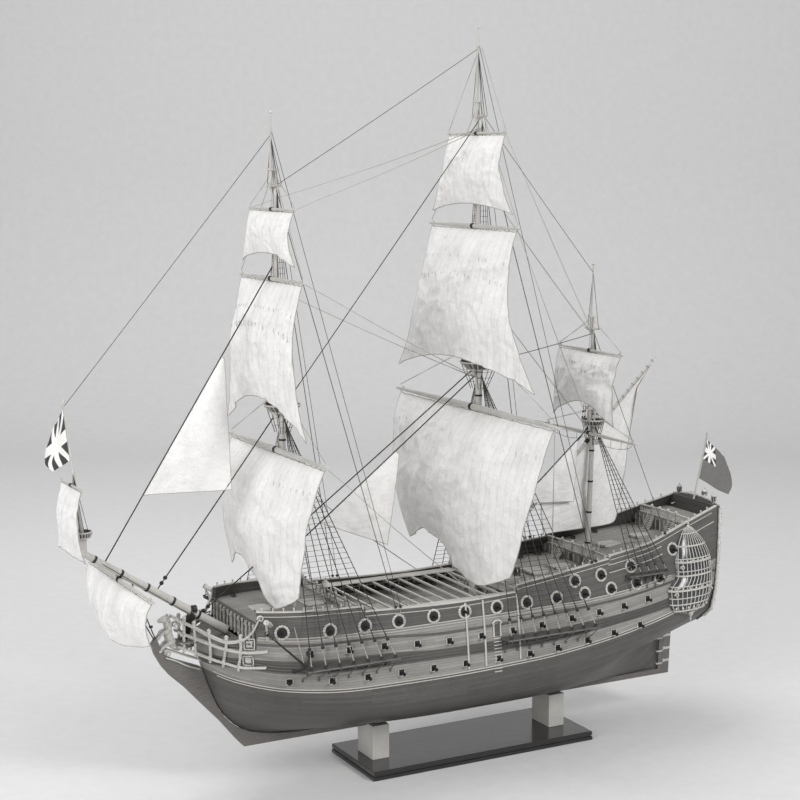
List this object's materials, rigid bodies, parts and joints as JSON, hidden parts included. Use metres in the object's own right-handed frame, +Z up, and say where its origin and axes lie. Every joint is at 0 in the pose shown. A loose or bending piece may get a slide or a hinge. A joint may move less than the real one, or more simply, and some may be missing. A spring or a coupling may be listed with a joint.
{
  "type": "model sailing ship",
  "caption": "Model of a three-masted, square-rigged warship in full sail, with carved rails and gun decks, on a two-post stand.",
  "frame": {"origin": "centre of the base board's underside", "axes": "+X from bow to stern, +Y to starboard, +Z up"},
  "size_m": [1.171, 0.486, 1.1086],
  "materials": {
    "hull_wood": "satin varnish",
    "dark_wood": "satin varnish, dark walnut",
    "pale_wood": "satin varnish, pale",
    "spar_wood": "satin varnish, pale",
    "ebonised_wood": "gloss black lacquer",
    "sailcloth": "stiffened cotton",
    "flag_cloth": "dyed cotton",
    "tarred_rope": "tarred twine",
    "pale_rope": "natural twine",
    "gilt_carving": "carved, pale gilded finish",
    "gun_metal": "blackened"
  },
  "bodies": {
    "hull": {"base_board": "ebonised_wood", "bowsprit": "spar_wood", "ensign": "flag_cloth", "ensign_staff": "spar_wood", "figurehead": "hull_wood", "fore_shrouds": "tarred_rope", "fore_staysail": "sailcloth", "fore_top": "hull_wood", "fore_topgallant_mast": "spar_wood", "fore_topmast": "spar_wood", "forecastle_deck": "pale_wood", "foremast": "spar_wood", "gallery_port": "hull_wood", "gallery_starboard": "hull_wood", "head_platform": "hull_wood", "hull_frame": "pale_wood", "hull_shell": "hull_wood", "jack": "flag_cloth", "keel_and_stem": "dark_wood", "lateen_sail": "sailcloth", "lateen_yard": "spar_wood", "main_shrouds": "tarred_rope", "main_staysail": "sailcloth", "main_top": "hull_wood", "main_topgallant_mast": "spar_wood", "main_topmast": "spar_wood", "mainmast": "spar_wood", "mizzen_shrouds": "tarred_rope", "mizzen_staysail": "sailcloth", "mizzen_top": "hull_wood", "mizzen_topmast": "spar_wood", "mizzenmast": "spar_wood", "poop_deck": "pale_wood", "quarter_deck": "pale_wood", "sprit_top": "hull_wood", "sprit_topmast": "spar_wood", "sprit_topsail": "sailcloth", "sprit_topsail_yard": "spar_wood", "spritsail": "sailcloth", "spritsail_yard": "spar_wood", "stand_post_front": "pale_wood", "stand_post_rear": "pale_wood", "stern_facade": "hull_wood", "waist_deck": "pale_wood"},
    "rudder": {"rudder": "dark_wood"},
    "fore_yards": {"fore_course_sail": "sailcloth", "fore_course_yard": "spar_wood", "fore_topgallant_sail": "sailcloth", "fore_topgallant_yard": "spar_wood", "fore_topsail_sail": "sailcloth", "fore_topsail_yard": "spar_wood"},
    "main_yards": {"main_course_sail": "sailcloth", "main_course_yard": "spar_wood", "main_topgallant_sail": "sailcloth", "main_topgallant_yard": "spar_wood", "main_topsail_sail": "sailcloth", "main_topsail_yard": "spar_wood"},
    "mizzen_yards": {"crossjack_yard": "spar_wood", "mizzen_topsail_sail": "sailcloth", "mizzen_topsail_yard": "spar_wood"}
  },
  "joints": [
    {"name": "rudder_swing", "type": "hinge", "parent": "hull", "child": "rudder", "pos_m": [0.383, 0, 0.1], "axis": [0, 0, 1], "range_deg": [-30, 30]},
    {"name": "fore_yards_brace", "type": "hinge", "parent": "hull", "child": "fore_yards", "pos_m": [-0.308, 0, 0.268], "axis": [0.0087, 0, 1], "range_deg": [-10, 10]},
    {"name": "main_yards_brace", "type": "hinge", "parent": "hull", "child": "main_yards", "pos_m": [0.015, 0, 0.245], "axis": [0.0262, 0, 0.9997], "range_deg": [-10, 10]},
    {"name": "mizzen_yards_brace", "type": "hinge", "parent": "hull", "child": "mizzen_yards", "pos_m": [0.228, 0, 0.272], "axis": [0.0349, 0, 0.9994], "range_deg": [-10, 10]}
  ]
}
